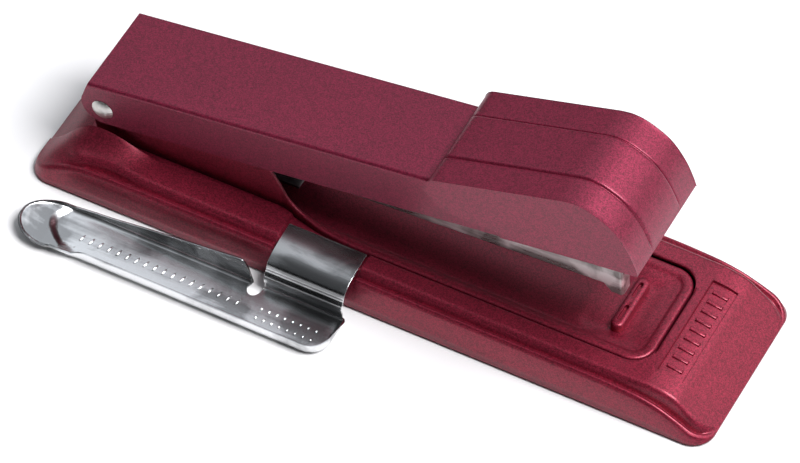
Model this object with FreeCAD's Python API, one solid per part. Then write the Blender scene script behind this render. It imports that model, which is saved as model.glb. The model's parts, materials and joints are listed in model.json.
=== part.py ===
"""Desk stapler with a tray base, a tilting staple magazine, a capped handle and a clip-on staple remover.

Frame: +X towards the nose, +Z up, origin at the middle of the footprint on the table plane. Millimetres.
The magazine parts are drawn level and then tilted up about the pivot by MAGAZINE_TILT, and the handle
parts likewise by ARM_TILT, which is the rest pose held by the springs.
"""
import FreeCAD, Part
import os
from math import cos, radians, sin

Vec = FreeCAD.Vector
UP = Vec(0, 0, 1)
ALONG_X = Vec(1, 0, 0)
ALONG_Y = Vec(0, 1, 0)
LIFT_AXIS = Vec(0, -1, 0)

# ---------------------------------------------------------------- driving dimensions
BASE_LENGTH = 190.0
BASE_WIDTH = 51.4
BASE_CORNER = 6.0
WALL_DRAFT = 1.1            # how far each side wall leans in over its height
RIDGE_HEIGHT = 10.2         # top of the bead that runs along each side
PLATEAU_HEIGHT = 11.65      # flat top of the shell
PLATEAU_HALF = 22.2
SHEET = 1.0                 # base sheet metal
SHELL_BOTTOM = 0.8
PLAQUE_REAR = 77.0          # shallow recess across the nose
PLAQUE_FRONT = 83.6
PLAQUE_HALF = 15.6
PLAQUE_DEPTH = 0.4
PLAQUE_SLOPE = 12.0         # degrees, follows the nose
PLAQUE_CORNER = 0.8
RIDGE_RAMP = [(-95, 1.9), (-87, 6.8), (-79, 9.6), (-71, 10.2)]
RIDGE_FALL = [(62, 10.2), (74, 9.6), (80, 8.5), (85, 6.6), (90, 4.0), (95, 1.2)]
PLATEAU_RAMP = [(-95, 1.9), (-87, 8.2), (-80, 10.9), (-72, 11.65)]
PLATEAU_FALL = [(76, 11.65), (80, 11.25), (83.6, 10.25), (88, 6.95), (92, 3.7), (95, 1.2)]
NOTCH_MARGIN = 0.3          # room around the clip in the shell's side

FRAME_HALF = 15.85          # centre frame, front part
FRAME_FRONT = 73.65
FRAME_CORNER = 6.0
FRAME_REAR = -84.0
FRAME_TOP = 11.3
FRAME_FLOOR = 9.8
FRAME_UNDER = 8.8
RIM_WIDTH = 2.95
FLANGE_HALF = 17.8          # hidden edge that laps under the shell
FLANGE_REAR = -65.0
FLANGE_FRONT = 75.5
FLANGE_SHEET = 1.0
DISH_DEPTH = 0.45           # rounded pocket around the anvil
GAP = 0.35                  # slit between centre frame and shell
EAR_OUT = 12.1
EAR_IN = 11.2
EAR_CROWN = 6.3             # radius of the ears around the pivot

PIVOT_X = -78.7
PIVOT_Z = 22.1
PIVOT = Vec(PIVOT_X, 0, PIVOT_Z)
PIN_RADIUS = 2.0
RUNNING_FIT = 0.05
RIVET_HEAD_RADIUS = 3.0
RIVET_HEAD_HEIGHT = 1.1
BUSH_RADIUS = 3.0
SPACER_RADIUS = 3.6
WASHER_RADIUS = 4.0

ARM_TILT = 9.2
ARM_HALF = 13.6
ARM_SHEET = 0.9
ARM_TOP = 30.28             # level pose
ARM_BOTTOM = 17.02
ARM_REAR = -81.5
ARM_FRONT = 66.0

MAGAZINE_TILT = 4.16
CHANNEL_HALF = 7.6
CHANNEL_SHEET = 0.8
CHANNEL_BOTTOM = 14.86      # level pose
CHANNEL_TOP = 24.2
CHANNEL_FRONT = 62.2
LUG_RADIUS = 6.0
NOSE_BOTTOM = 12.9
NOSE_START = 58.3
NOSE_RADIUS = 0.9
PLATE_SHEET = 0.8
PLATE_HALF = 3.9            # the front plate fits between two returns of the channel
THROAT = 60.9               # front of the core rail: staples leave between here and the front plate
CORE_HALF = 5.6
CORE_TOP = 21.9
CORE_REAR = -60.0
CORE_SHEET = 0.8
ROD_RADIUS = 1.2
ROD_HEIGHT = 18.4

STAPLE_HALF = 6.35
STAPLE_WIRE = 0.5
STRIP_REAR = 1.7

CAP_HALF = 16.1
CAP_EDGE = 0.8
CAP_BAND_HALF = 7.56        # raised band along the top of the cap
CAP_BAND_RISE = 0.3
SKIRT_MARGIN = 1.0          # cap side cheeks that lap over the handle's walls

DRIVER_REAR = 61.2
DRIVER_SHEET = 0.6
CARRIER_REAR = 42.0
CARRIER_HALF = 6.0
CARRIER_SHEET = 1.2
CARRIER_RIVETS = (46.0, 56.0)
CARRIER_RIVET_RADIUS = 1.4

ANVIL_X = 61.9
ANVIL_HALF_LENGTH = 8.7
ANVIL_HALF_WIDTH = 1.8
ANVIL_TOP = 12.05
ANVIL_STUD = 1.1
ANVIL_STUDS = (-5.0, 5.0)
GROOVE_STARTS = (-6.6, 1.4)
GROOVE_LENGTH = 5.2
GROOVE_DEPTH = 0.5
GROOVE_HALF_WIDTH = 0.6

LEAF_ROOT = -32.0           # rivet of the lift spring
LEAF_TIP = -60.0
LEAF_SHEET = 0.6
LEAF_HALF = 4.5
LEAF_RIVET = 1.3

PAD_HEIGHT = 2.2
PAD_INSET = 1.6
PAD_POSTS = [(x, y) for x in (-62.0, -8.0, 46.0) for y in (-9.0, 9.0)]

CLIP_REAR = -24.2
CLIP_FRONT = -2.4
CLIP_INNER = -16.6
REMOVER_SHEET = 0.6
REMOVER_BOTTOM = 0.4
BLADE_NEAR = -43.4
BLADE_FAR = -29.8
BLADE_TIP = -88.4
BLADE_WAIST = -69.0         # the blade starts to turn up towards its tip
BLADE_END = -1.6
BLADE_RIM = 4.2             # top of the near flange
FAR_RIM = [(-80.0, 1.4), (-68.0, 2.4), (-48.5, 5.5), (-28.0, 8.2)]      # (x, top) of the far flange
BLADE_LIFT = 4.8            # height of the tip
NOTCH_X = -26.2
NOTCH_RADIUS = 1.9


# ---------------------------------------------------------------- shape helpers
def lines(points):
    """Straight edges through a list of points."""
    return [Part.LineSegment(a, b).toShape() for a, b in zip(points, points[1:])]


def smooth(points, start=None, end=None):
    """One smooth edge through a list of points, with optional end directions."""
    curve = Part.BSplineCurve()
    if start is not None:
        curve.interpolate(Points=points, InitialTangent=start, FinalTangent=end)
    else:
        curve.interpolate(Points=points)
    return [curve.toShape()]


def arc(start, middle, end):
    return [Part.Arc(start, middle, end).toShape()]


def xz(points, y=0.0):
    return [Vec(x, y, z) for x, z in points]


def extruded(edges, direction):
    """Closed outline pushed along a direction."""
    return Part.Face(Part.Wire(edges)).extrude(direction)


def prism_xz(points, half):
    """Polygon in the side view, as wide as +/- half in Y."""
    ring = xz(points, -half)
    return extruded(lines(ring + ring[:1]), Vec(0, 2 * half, 0))


def prism_yz(points, x_low, x_high):
    ring = [Vec(x_low, y, z) for y, z in points]
    return extruded(lines(ring + ring[:1]), Vec(x_high - x_low, 0, 0))


def block(x_low, x_high, y_low, y_high, z_low, z_high):
    return Part.makeBox(x_high - x_low, y_high - y_low, z_high - z_low, Vec(x_low, y_low, z_low))


def mid_block(x_low, x_high, half, z_low, z_high):
    """Block centred on the stapler's middle plane."""
    return block(x_low, x_high, -half, half, z_low, z_high)


def rod_y(x, z, radius, y_low, y_high):
    return Part.makeCylinder(radius, y_high - y_low, Vec(x, y_low, z), ALONG_Y)


def rod_x(x_low, x_high, y, z, radius):
    return Part.makeCylinder(radius, x_high - x_low, Vec(x_low, y, z), ALONG_X)


def rod_z(x, y, radius, z_low, z_high):
    return Part.makeCylinder(radius, z_high - z_low, Vec(x, y, z_low), UP)


def rounded_outline(x_low, x_high, y_low, y_high, radius, z):
    """Rounded rectangle in plan, as a wire at height z."""
    bend = radius * (1 - cos(radians(45)))
    edges = []
    corners = [
        (x_high, y_low, -1, 1), (x_high, y_high, -1, -1), (x_low, y_high, 1, -1), (x_low, y_low, 1, 1),
    ]
    ends = []
    for index, (x, y, into_x, into_y) in enumerate(corners):
        on_x = Vec(x + into_x * radius, y, z)
        on_y = Vec(x, y + into_y * radius, z)
        middle = Vec(x + into_x * bend, y + into_y * bend, z)
        first, last = (on_x, on_y) if index % 2 == 0 else (on_y, on_x)
        ends.append((first, middle, last))
    for (first, middle, last), following in zip(ends, ends[1:] + ends[:1]):
        edges += arc(first, middle, last) + lines([last, following[0]])
    return Part.Wire(edges)


def rounded_plate(x_low, x_high, half, radius, z_low, z_high):
    wire = rounded_outline(x_low, x_high, -half, half, radius, z_low)
    return Part.Face(wire).extrude(Vec(0, 0, z_high - z_low))


def stadium(x, half_width, y_low, y_high, z_low, z_high):
    """Slot shape that runs along Y."""
    body = block(x - half_width, x + half_width, y_low + half_width, y_high - half_width, z_low, z_high)
    for y in (y_low + half_width, y_high - half_width):
        body = body.fuse(rod_z(x, y, half_width, z_low, z_high))
    return body.removeSplitter()


def rounded_edges(shape, radius, wanted):
    """Shape with a radius on every edge that the test picks."""
    return shape.makeFillet(radius, [edge for edge in shape.Edges if wanted(edge)])


def both_sides(shape):
    """The shape and its mirror image across the middle plane."""
    return [shape, shape.mirror(Vec(0, 0, 0), ALONG_Y)]


def tilted(shape, angle):
    """Shape turned nose-up about the pivot."""
    turned = shape.copy()
    turned.rotate(PIVOT, LIFT_AXIS, angle)
    return turned


def joined(shapes):
    whole = shapes[0]
    for shape in shapes[1:]:
        whole = whole.fuse(shape)
    return whole.removeSplitter()


def coil(start, axis, radius, wire_radius, pitch, turns):
    """Round-wire helix that starts at a point and winds along an axis."""
    helix = Part.makeHelix(pitch, pitch * turns, radius)
    section = Part.Wire(Part.makeCircle(wire_radius, Vec(radius, 0, 0), ALONG_Y))
    spring = Part.Wire(helix.Edges).makePipeShell([section], True, True)
    spring.Placement = FreeCAD.Placement(start, FreeCAD.Rotation(UP, axis))
    return spring


# ---------------------------------------------------------------- base
def side_profile(rear, front, height):
    """Lengthwise outline of the base: ramp at the rear, flat middle, rounded fall to the front lip."""
    bottom = -5.0
    end_rear, end_front = rear[0][0], front[-1][0]
    edges = lines(xz([(end_front, front[-1][1]), (end_front, bottom), (end_rear, bottom), rear[0]]))
    edges += smooth(xz(rear), Vec(0.45, 0, 1.0), Vec(1, 0, 0))
    edges += lines(xz([rear[-1], (front[0][0], height)]))
    edges += smooth(xz(front), Vec(1, 0, 0), Vec(0.8, 0, -1.0))
    return edges


def lowered(points, drop):
    return [(x, z - drop) for x, z in points]


def shell_form(inset):
    """Outside form of the base shell, drawn smaller by inset for the inside face."""
    half_length = BASE_LENGTH / 2 - inset
    half_width = BASE_WIDTH / 2 - inset
    corner = BASE_CORNER - inset
    low = rounded_outline(-half_length, half_length, -half_width, half_width, corner, 0)
    top_half = half_width - WALL_DRAFT * 2
    high = rounded_outline(-half_length, half_length, -top_half, top_half, corner, 2 * RIDGE_HEIGHT)
    walls = Part.makeLoft([low, high], True, True)
    ridge = side_profile(lowered(RIDGE_RAMP, inset), lowered(RIDGE_FALL, inset), RIDGE_HEIGHT - inset)
    plateau = side_profile(lowered(PLATEAU_RAMP, inset), lowered(PLATEAU_FALL, inset), PLATEAU_HEIGHT - inset)
    width = Vec(0, BASE_WIDTH, 0)
    ridge_body = extruded(ridge, width).translated(Vec(0, -BASE_WIDTH / 2, 0))
    plateau_half = PLATEAU_HALF - inset
    plateau_body = extruded(plateau, Vec(0, 2 * plateau_half, 0)).translated(Vec(0, -plateau_half, 0))
    return walls.common(ridge_body.fuse(plateau_body))


def rear_hump():
    """Raised shoulder of the shell on each side of the handle's rear end."""
    crest = [(-91.0, 5.6), (-86.0, 12.0), (-80.5, 16.0), (-74.0, 13.8), (-66.0, 11.0)]
    base_line = [(-66.0, 11.0), (-66.0, 8.0), (-86.0, 6.0), (-91.0, 4.0), (-91.0, 5.6)]
    side = extruded(lines(xz(base_line)) + smooth(xz(crest)), Vec(0, BASE_WIDTH, 0))
    side = side.translated(Vec(0, -BASE_WIDTH / 2, 0))
    section = [
        (-14.2, 3), (-14.2, 16.2), (-15.0, 16.0), (-16.6, 13.6), (-19.0, 12.0), (-22.0, 11.2), (-22.0, 3),
    ]
    return [side.common(shoulder) for shoulder in both_sides(prism_yz(section, -92, -66))]


def frame_outline(margin, z):
    """Plan outline of the centre frame, wider by margin: narrow between the ears, flared to the tray."""
    narrow, wide = EAR_OUT + margin, FRAME_HALF + margin
    rear, front = FRAME_REAR - margin, FRAME_FRONT + margin
    radius = FRAME_CORNER + margin
    bend = radius * (1 - cos(radians(45)))
    flare = [(-28.5, narrow), (-23.0, narrow + 1.3), (-15.0, wide - 0.7), (-7.0, wide)]

    def side(sign):
        path = smooth([Vec(x, sign * y, z) for x, y in flare], Vec(1, 0, 0), Vec(1, 0, 0))
        corner = [Vec(front - radius, sign * wide, z), Vec(front - bend, sign * (wide - bend), z),
                  Vec(front, sign * (wide - radius), z)]
        return (
            lines([Vec(rear, sign * narrow, z), Vec(flare[0][0], sign * narrow, z)]) + path
            + lines([Vec(flare[-1][0], sign * wide, z), corner[0]]) + arc(*corner)
        )

    ends = lines([Vec(rear, -narrow, z), Vec(rear, narrow, z)])
    nose = lines([Vec(front, wide - radius, z), Vec(front, radius - wide, z)])
    return Part.Wire(Part.__sortEdges__(side(-1) + nose + side(1) + ends))


def frame_body(margin, z_low, z_high):
    return Part.Face(frame_outline(margin, z_low)).extrude(Vec(0, 0, z_high - z_low))


def base_shell():
    """Painted sheet-metal skin: outside form less inside form, with the centre opening and clip notch."""
    skin = joined([shell_form(0).cut(shell_form(SHEET))] + rear_hump())
    skin = skin.cut(frame_body(GAP, 5.0, 2 * PLATEAU_HEIGHT))
    skin = skin.cut(mid_block(-100, 100, BASE_WIDTH, -6, SHELL_BOTTOM))
    skin = skin.cut(block(CLIP_REAR - NOTCH_MARGIN, CLIP_FRONT + NOTCH_MARGIN, -BASE_WIDTH, CLIP_INNER + 2.0,
                          6.5, 2 * PLATEAU_HEIGHT))
    floor_z = PLATEAU_HEIGHT - PLAQUE_DEPTH
    plaque = rounded_plate(PLAQUE_REAR, PLAQUE_FRONT, PLAQUE_HALF, PLAQUE_CORNER, floor_z, 2 * PLATEAU_HEIGHT)
    plaque.rotate(Vec(PLAQUE_REAR, 0, floor_z), ALONG_Y, PLAQUE_SLOPE)
    return skin.cut(plaque)


def around_pivot(radius, angle):
    """Point (x, z) on a circle around the pivot."""
    return (PIVOT_X + radius * cos(radians(angle)), PIVOT_Z + radius * sin(radians(angle)))


def ear():
    """Side plate of the frame that carries the pivot, with a swept front edge. Near side."""
    low = FRAME_UNDER
    crown = [around_pivot(EAR_CROWN, angle) for angle in (235, 160, 90)]
    sweep = [(-42.0, 26.4), (-34.5, 24.6), (-30.6, 21.4), (-28.9, 17.6), (-26.6, 14.0), (-19.0, 11.4),
             (-13.0, FRAME_FLOOR)]
    edges = arc(*xz(crown)) + lines(xz([crown[-1], sweep[0]])) + smooth(xz(sweep))
    edges += lines(xz([sweep[-1], (-13.0, low), (PIVOT_X - 2.2, low), crown[0]]))
    plate = extruded(edges, Vec(0, 8, 0)).translated(Vec(0, -18, 0))
    wall = frame_body(0, low, 30).cut(frame_body(EAR_IN - EAR_OUT, low, 30))
    return plate.common(wall.common(block(-90, -10, -18, 0, low, 30)))


def base_frame():
    """Centre frame: recessed tray with a raised rim, a hidden flange under the shell, and two ears."""
    rim = frame_body(0, FRAME_UNDER, FRAME_TOP)
    front = FRAME_FRONT - RIM_WIDTH
    half = FRAME_HALF - RIM_WIDTH
    tray = rounded_plate(-24.0, front, half, 4.5, FRAME_FLOOR, 20)
    between_ears = mid_block(FRAME_REAR - 1, -20.0, EAR_IN, FRAME_FLOOR, 20)
    dish = rounded_plate(51.0, front - 2.4, half - 1.6, 3.5, FRAME_FLOOR - DISH_DEPTH, 20)
    flange_top = PLATEAU_HEIGHT - SHEET
    flange = mid_block(FLANGE_REAR, FLANGE_FRONT, FLANGE_HALF, flange_top - FLANGE_SHEET, flange_top)
    pan = joined([rim, flange]).cut(joined([tray, between_ears])).cut(dish)
    frame = joined([pan] + both_sides(ear()))
    frame = frame.cut(rod_y(PIVOT_X, PIVOT_Z, PIN_RADIUS, -20, 20))
    holes = [(ANVIL_X, y, ANVIL_STUD) for y in ANVIL_STUDS] + [(LEAF_ROOT, 0, LEAF_RIVET)]
    for x, y, radius in holes:
        frame = frame.cut(rod_z(x, y, radius, FRAME_UNDER - 1, FRAME_UNDER + 4))
    return frame


def anvil():
    """Raised clinching plate with two grooves that curl the staple legs, staked down by two studs."""
    seat = FRAME_FLOOR - DISH_DEPTH
    plate = stadium(ANVIL_X, ANVIL_HALF_WIDTH, -ANVIL_HALF_LENGTH, ANVIL_HALF_LENGTH, seat, ANVIL_TOP)
    plate = rounded_edges(plate, 0.7, lambda edge: edge.BoundBox.ZMin > ANVIL_TOP - 0.01)
    groove_floor = ANVIL_TOP - GROOVE_DEPTH
    for y in GROOVE_STARTS:
        groove = stadium(ANVIL_X, GROOVE_HALF_WIDTH, y, y + GROOVE_LENGTH, groove_floor, ANVIL_TOP + 1)
        plate = plate.cut(groove)
    studs = [rod_z(ANVIL_X, y, ANVIL_STUD, FRAME_UNDER, seat) for y in ANVIL_STUDS]
    return joined([plate] + studs)


def base_pad():
    """Rubber underside: a slab inside the shell's lower edge, on posts that reach the centre frame."""
    slab = rounded_plate(-91.0, 90.0, BASE_WIDTH / 2 - PAD_INSET, 4.5, 0, PAD_HEIGHT)
    slab = rounded_edges(slab, 0.5, lambda edge: edge.BoundBox.ZMax < 0.01)
    posts = [rod_z(x, y, 3.5, PAD_HEIGHT - 0.2, FRAME_UNDER) for x, y in PAD_POSTS]
    return joined([slab] + posts)


def pivot_rivet():
    """One steel pin through the ears, magazine and handle, with a domed head on each side."""
    shank_half = ARM_HALF + 0.1
    shank = rod_y(PIVOT_X, PIVOT_Z, PIN_RADIUS, -shank_half, shank_half)
    dome_radius = (RIVET_HEAD_RADIUS ** 2 + RIVET_HEAD_HEIGHT ** 2) / (2 * RIVET_HEAD_HEIGHT)
    ball = Part.makeSphere(dome_radius, Vec(PIVOT_X, RIVET_HEAD_HEIGHT - dome_radius, PIVOT_Z))
    head = ball.common(rod_y(PIVOT_X, PIVOT_Z, RIVET_HEAD_RADIUS, 0, RIVET_HEAD_HEIGHT))
    return joined([shank] + both_sides(head.translated(Vec(0, shank_half, 0))))


def ring_y(inner, outer, y_low, y_high):
    """Washer or tube around the pivot."""
    bore = rod_y(PIVOT_X, PIVOT_Z, inner, y_low - 1, y_high + 1)
    return rod_y(PIVOT_X, PIVOT_Z, outer, y_low, y_high).cut(bore)


def pivot_spacer_near():
    return ring_y(PIN_RADIUS, SPACER_RADIUS, -EAR_IN, -CHANNEL_HALF - 0.25)


def pivot_spacer_far():
    return pivot_spacer_near().mirror(Vec(0, 0, 0), ALONG_Y)


def arm_washers():
    """Thin washers between the ears and the handle cover's walls."""
    washer = ring_y(PIN_RADIUS, WASHER_RADIUS, EAR_OUT, ARM_HALF - ARM_SHEET - 0.1)
    return Part.makeCompound(both_sides(washer))


def magazine_underside(x):
    """Height of the magazine's lower face at rest."""
    drop = PIVOT_Z - CHANNEL_BOTTOM
    tilt = radians(MAGAZINE_TILT)
    return PIVOT_Z + (x - PIVOT_X) * sin(tilt) / cos(tilt) - drop / cos(tilt)


def lift_spring():
    """Leaf riveted to the tray floor between the ears; its curled tip holds the magazine up."""
    heel = LEAF_ROOT - 5.0
    tip = magazine_underside(LEAF_TIP) - LEAF_SHEET - 0.05
    lower = xz([(heel, FRAME_FLOOR), (-44.0, FRAME_FLOOR + 1.1), (-54.0, tip - 1.45), (LEAF_TIP, tip)])
    upper = [point + Vec(0, 0, LEAF_SHEET) for point in lower]
    bow = smooth(lower) + lines([lower[-1], upper[-1]]) + smooth(upper) + lines([upper[0], lower[0]])
    leaf = extruded(bow, Vec(0, 2 * LEAF_HALF, 0)).translated(Vec(0, -LEAF_HALF, 0))
    foot = mid_block(heel, LEAF_ROOT + 4.0, LEAF_HALF, FRAME_FLOOR, FRAME_FLOOR + LEAF_SHEET)
    return joined([foot, leaf]).cut(rod_z(LEAF_ROOT, 0, LEAF_RIVET, FRAME_FLOOR - 1, FRAME_FLOOR + 4))


def lift_spring_rivet():
    top = FRAME_FLOOR + LEAF_SHEET
    shank = rod_z(LEAF_ROOT, 0, LEAF_RIVET, FRAME_UNDER, top)
    head = Part.makeCone(2.4, 1.5, 0.9, Vec(LEAF_ROOT, 0, top), UP)
    return joined([shank, head])


# ---------------------------------------------------------------- magazine
def magazine_channel():
    """Chromed trough: floor, side walls with front returns, rear lugs on the pivot, and a nose that drops."""
    nose = CHANNEL_FRONT + PLATE_SHEET
    walls = prism_xz(
        [(-71.5, CHANNEL_BOTTOM), (NOSE_START, CHANNEL_BOTTOM), (NOSE_START + 1.6, NOSE_BOTTOM),
         (nose, NOSE_BOTTOM), (nose, CHANNEL_TOP), (-70.0, CHANNEL_TOP),
         (PIVOT_X, PIVOT_Z + LUG_RADIUS), (PIVOT_X, PIVOT_Z - LUG_RADIUS)],
        CHANNEL_HALF,
    )
    body = joined([walls, rod_y(PIVOT_X, PIVOT_Z, LUG_RADIUS, -CHANNEL_HALF, CHANNEL_HALF)])

    def along_the_bottom(edge):
        return edge.BoundBox.XLength > 100 and edge.BoundBox.ZMax < CHANNEL_BOTTOM + 0.1

    def upright_front(edge):
        return edge.BoundBox.ZLength > 5 and edge.BoundBox.XMin > nose - 0.1

    body = rounded_edges(body, 0.7, along_the_bottom)
    body = rounded_edges(body, NOSE_RADIUS, upright_front)
    inside = CHANNEL_HALF - CHANNEL_SHEET
    floor_top = CHANNEL_BOTTOM + CHANNEL_SHEET
    body = body.cut(mid_block(-72.0, CHANNEL_FRONT, inside, floor_top, 40))
    body = body.cut(mid_block(-95.0, -70.0, inside, 0, 40))
    body = body.cut(mid_block(THROAT, CHANNEL_FRONT, inside, 0, 40))
    body = body.cut(mid_block(THROAT, nose + 1, PLATE_HALF, 0, 40))
    body = body.cut(rod_y(PIVOT_X, PIVOT_Z, BUSH_RADIUS, -20, 20))
    return tilted(body, MAGAZINE_TILT)


def front_plate():
    """Nose plate between the channel's front returns, which closes the throat in front of the driver."""
    front = CHANNEL_FRONT + PLATE_SHEET
    return tilted(mid_block(CHANNEL_FRONT, front, PLATE_HALF, NOSE_BOTTOM, CHANNEL_TOP), MAGAZINE_TILT)


def staple_core():
    """Inner rail that the staples ride on, slotted along the top for the pusher's web."""
    low = CHANNEL_BOTTOM + CHANNEL_SHEET
    inside = CORE_HALF - CORE_SHEET
    rail = mid_block(CORE_REAR, THROAT, CORE_HALF, low, CORE_TOP)
    rail = rail.cut(mid_block(CORE_REAR - 1, THROAT - CORE_SHEET, inside, low - 1, CORE_TOP - CORE_SHEET))
    rail = rail.cut(mid_block(CORE_REAR + 6, STRIP_REAR + 1, 1.0, CORE_TOP - 2, CORE_TOP + 1))
    return tilted(rail, MAGAZINE_TILT)


def rod_anchor():
    """Block between the core's legs that holds the rear end of the guide rod and seats the spring."""
    low = CHANNEL_BOTTOM + CHANNEL_SHEET
    anchor = mid_block(CORE_REAR, CORE_REAR + 2, CORE_HALF - CORE_SHEET, low, CORE_TOP - CORE_SHEET)
    return tilted(anchor.cut(rod_x(CORE_REAR - 1, CORE_REAR + 3, 0, ROD_HEIGHT, ROD_RADIUS)), MAGAZINE_TILT)


def guide_rod():
    return tilted(rod_x(CORE_REAR, THROAT - CORE_SHEET, 0, ROD_HEIGHT, ROD_RADIUS), MAGAZINE_TILT)


def core_rivets():
    """Two flush rivets through the channel floor into feet inside the core rail."""
    low = CHANNEL_BOTTOM + CHANNEL_SHEET
    rivets = [Part.makeCone(2.2, 1.6, 0.6, Vec(x, 0, low), UP) for x in (-50.0, 50.0)]
    return Part.makeCompound([tilted(rivet, MAGAZINE_TILT) for rivet in rivets])


def pivot_bush():
    """Bearing tube across the magazine lugs, running on the pivot rivet."""
    return tilted(ring_y(PIN_RADIUS + RUNNING_FIT, BUSH_RADIUS, -CHANNEL_HALF, CHANNEL_HALF), MAGAZINE_TILT)


def return_spring():
    """Torsion spring around the bush: one leg on the magazine floor, the other under the handle."""
    wire, pitch, turns = 0.45, 1.3, 7
    mean = BUSH_RADIUS + 0.25 + wire
    half = pitch * turns / 2
    winding = coil(Vec(PIVOT_X, -half, PIVOT_Z), ALONG_Y, mean, wire, pitch, turns)
    return tilted(winding, MAGAZINE_TILT)


def staple_strip():
    """Glued strip of staples that straddles the core rail."""
    low = CHANNEL_BOTTOM + CHANNEL_SHEET + 0.2
    strip = mid_block(STRIP_REAR, THROAT, STAPLE_HALF, low, CORE_TOP + STAPLE_WIRE)
    inner = STAPLE_HALF - STAPLE_WIRE
    return tilted(strip.cut(mid_block(STRIP_REAR - 1, THROAT + 1, inner, low - 1, CORE_TOP)), MAGAZINE_TILT)


def pusher():
    """Follower that straddles the core behind the strip, with a web and collar on the guide rod."""
    rear, front = STRIP_REAR - 12.0, STRIP_REAR - 0.3
    low = CHANNEL_BOTTOM + CHANNEL_SHEET + 0.3
    top = CORE_TOP + 2.6
    saddle = mid_block(rear, front, STAPLE_HALF - 0.05, low, top)
    saddle = saddle.cut(mid_block(rear - 1, front + 1, CORE_HALF + 0.15, low - 1, CORE_TOP + 0.2))
    tab = mid_block(rear + 1, rear + 4, 3.0, top - 0.5, top + 1.8)
    web = mid_block(rear + 1, front - 2.5, 0.7, ROD_HEIGHT, CORE_TOP + 1)
    collar = rod_x(rear + 1, front - 2.5, 0, ROD_HEIGHT, 2.1)
    body = joined([saddle, tab, web, collar])
    bore = rod_x(rear - 1, front + 1, 0, ROD_HEIGHT, ROD_RADIUS + RUNNING_FIT)
    return tilted(body.cut(bore), MAGAZINE_TILT)


def pusher_spring():
    """Compression spring on the guide rod, from the anchor to the pusher's collar."""
    wire = 0.25
    turns = 20
    start = CORE_REAR + 2 + wire
    pitch = (STRIP_REAR - 11.0 - wire - start) / turns
    winding = coil(Vec(start, 0, ROD_HEIGHT), ALONG_X, ROD_RADIUS + 0.3 + wire, wire, pitch, turns)
    return tilted(winding, MAGAZINE_TILT)


# ---------------------------------------------------------------- handle
def arm_side_outline():
    """Side view of the handle cover in the level pose, with a rounded lobe around the pivot."""
    lobe_end = (ARM_REAR - 2.6, 25.2)
    under_pivot = (PIVOT_X, ARM_BOTTOM)
    return (
        lines(xz([under_pivot, (ARM_FRONT, ARM_BOTTOM), (ARM_FRONT, ARM_TOP), (ARM_REAR, ARM_TOP), lobe_end]))
        + arc(*xz([lobe_end, (-83.2, 18.9), under_pivot]))
    )


def arm_envelope():
    body = extruded(arm_side_outline(), Vec(0, 2 * ARM_HALF, 0)).translated(Vec(0, -ARM_HALF, 0))

    def along_the_top(edge):
        return edge.BoundBox.XLength > 100 and edge.BoundBox.ZMin > ARM_TOP - 0.01

    return rounded_edges(body, 1.0, along_the_top)


def arm_cover():
    """Inverted sheet-metal trough that is pressed by hand and carries the driver."""
    inside = ARM_HALF - ARM_SHEET
    body = arm_envelope().cut(mid_block(-95, 80, inside, 0, ARM_TOP - ARM_SHEET))
    return tilted(body.cut(rod_y(PIVOT_X, PIVOT_Z, PIN_RADIUS + RUNNING_FIT, -20, 20)), ARM_TILT)


def cap_outline(shift_x=0.0, shift_z=0.0):
    """Side view of the cap at rest: flat back, sloping top, round nose, low rear corner swept up."""
    rear_foot = (12.9, 44.4)
    rear_top = (13.4, 47.0)
    top_rear = (15.4, 49.0)
    nose = [
        (50.0, 60.45), (53.6, 61.1), (57.8, 60.1), (63.2, 57.0), (67.2, 51.9), (69.6, 46.8), (70.6, 43.8),
    ]
    sweep = [(28.0, 39.4), (20.0, 39.8), (15.0, 41.4), rear_foot]

    def place(points):
        return xz([(x + shift_x, z + shift_z) for x, z in points])

    return (
        lines(place([rear_foot, rear_top, top_rear, nose[0]])) + smooth(place(nose))
        + lines(place([nose[-1], (60.0, 42.2), sweep[0]])) + smooth(place(sweep))
    )


def cap_hollow():
    """Space inside the cap above the handle cover."""
    roof = [(68.0, 44.0), (65.0, 50.6), (61.2, 55.0), (56.4, 57.6), (50.6, 57.8)]
    ring = lines(xz([roof[-1], (16.5, 46.7), (16.5, 36.0), (68.0, 36.0), roof[0]])) + smooth(xz(roof))
    return extruded(ring, Vec(0, 2 * ARM_HALF, 0)).translated(Vec(0, -ARM_HALF, 0))


def cap():
    """Moulded cap over the front of the handle, hollow above the sheet metal."""
    def upper_rim(edge):
        return abs(edge.BoundBox.YLength) < 0.01 and edge.BoundBox.ZMax > 47

    body = extruded(cap_outline(), Vec(0, 2 * CAP_HALF, 0)).translated(Vec(0, -CAP_HALF, 0))
    body = rounded_edges(body, CAP_EDGE, upper_rim)
    band = extruded(cap_outline(0.1, CAP_BAND_RISE), Vec(0, 2 * CAP_BAND_HALF, 0))
    band = band.translated(Vec(0, -CAP_BAND_HALF, 0))
    band = band.common(prism_xz([(14.5, 46), (14.5, 70), (80, 70), (80, 46)], CAP_HALF))
    skirt = prism_xz([(25.0, 45.0), (33.0, 35.6), (67.0, 41.2), (68.5, 45.0)], ARM_HALF + SKIRT_MARGIN)
    return joined([body, band, skirt]).cut(cap_hollow()).cut(tilted(arm_envelope(), ARM_TILT))


def driver_blade():
    """Hardened blade that pushes one staple out of the throat. Level pose is the end of its stroke."""
    low = NOSE_BOTTOM + 0.3
    blade = mid_block(DRIVER_REAR, DRIVER_REAR + DRIVER_SHEET, STAPLE_HALF, low, ARM_TOP - ARM_SHEET)
    return tilted(blade, ARM_TILT)


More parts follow.
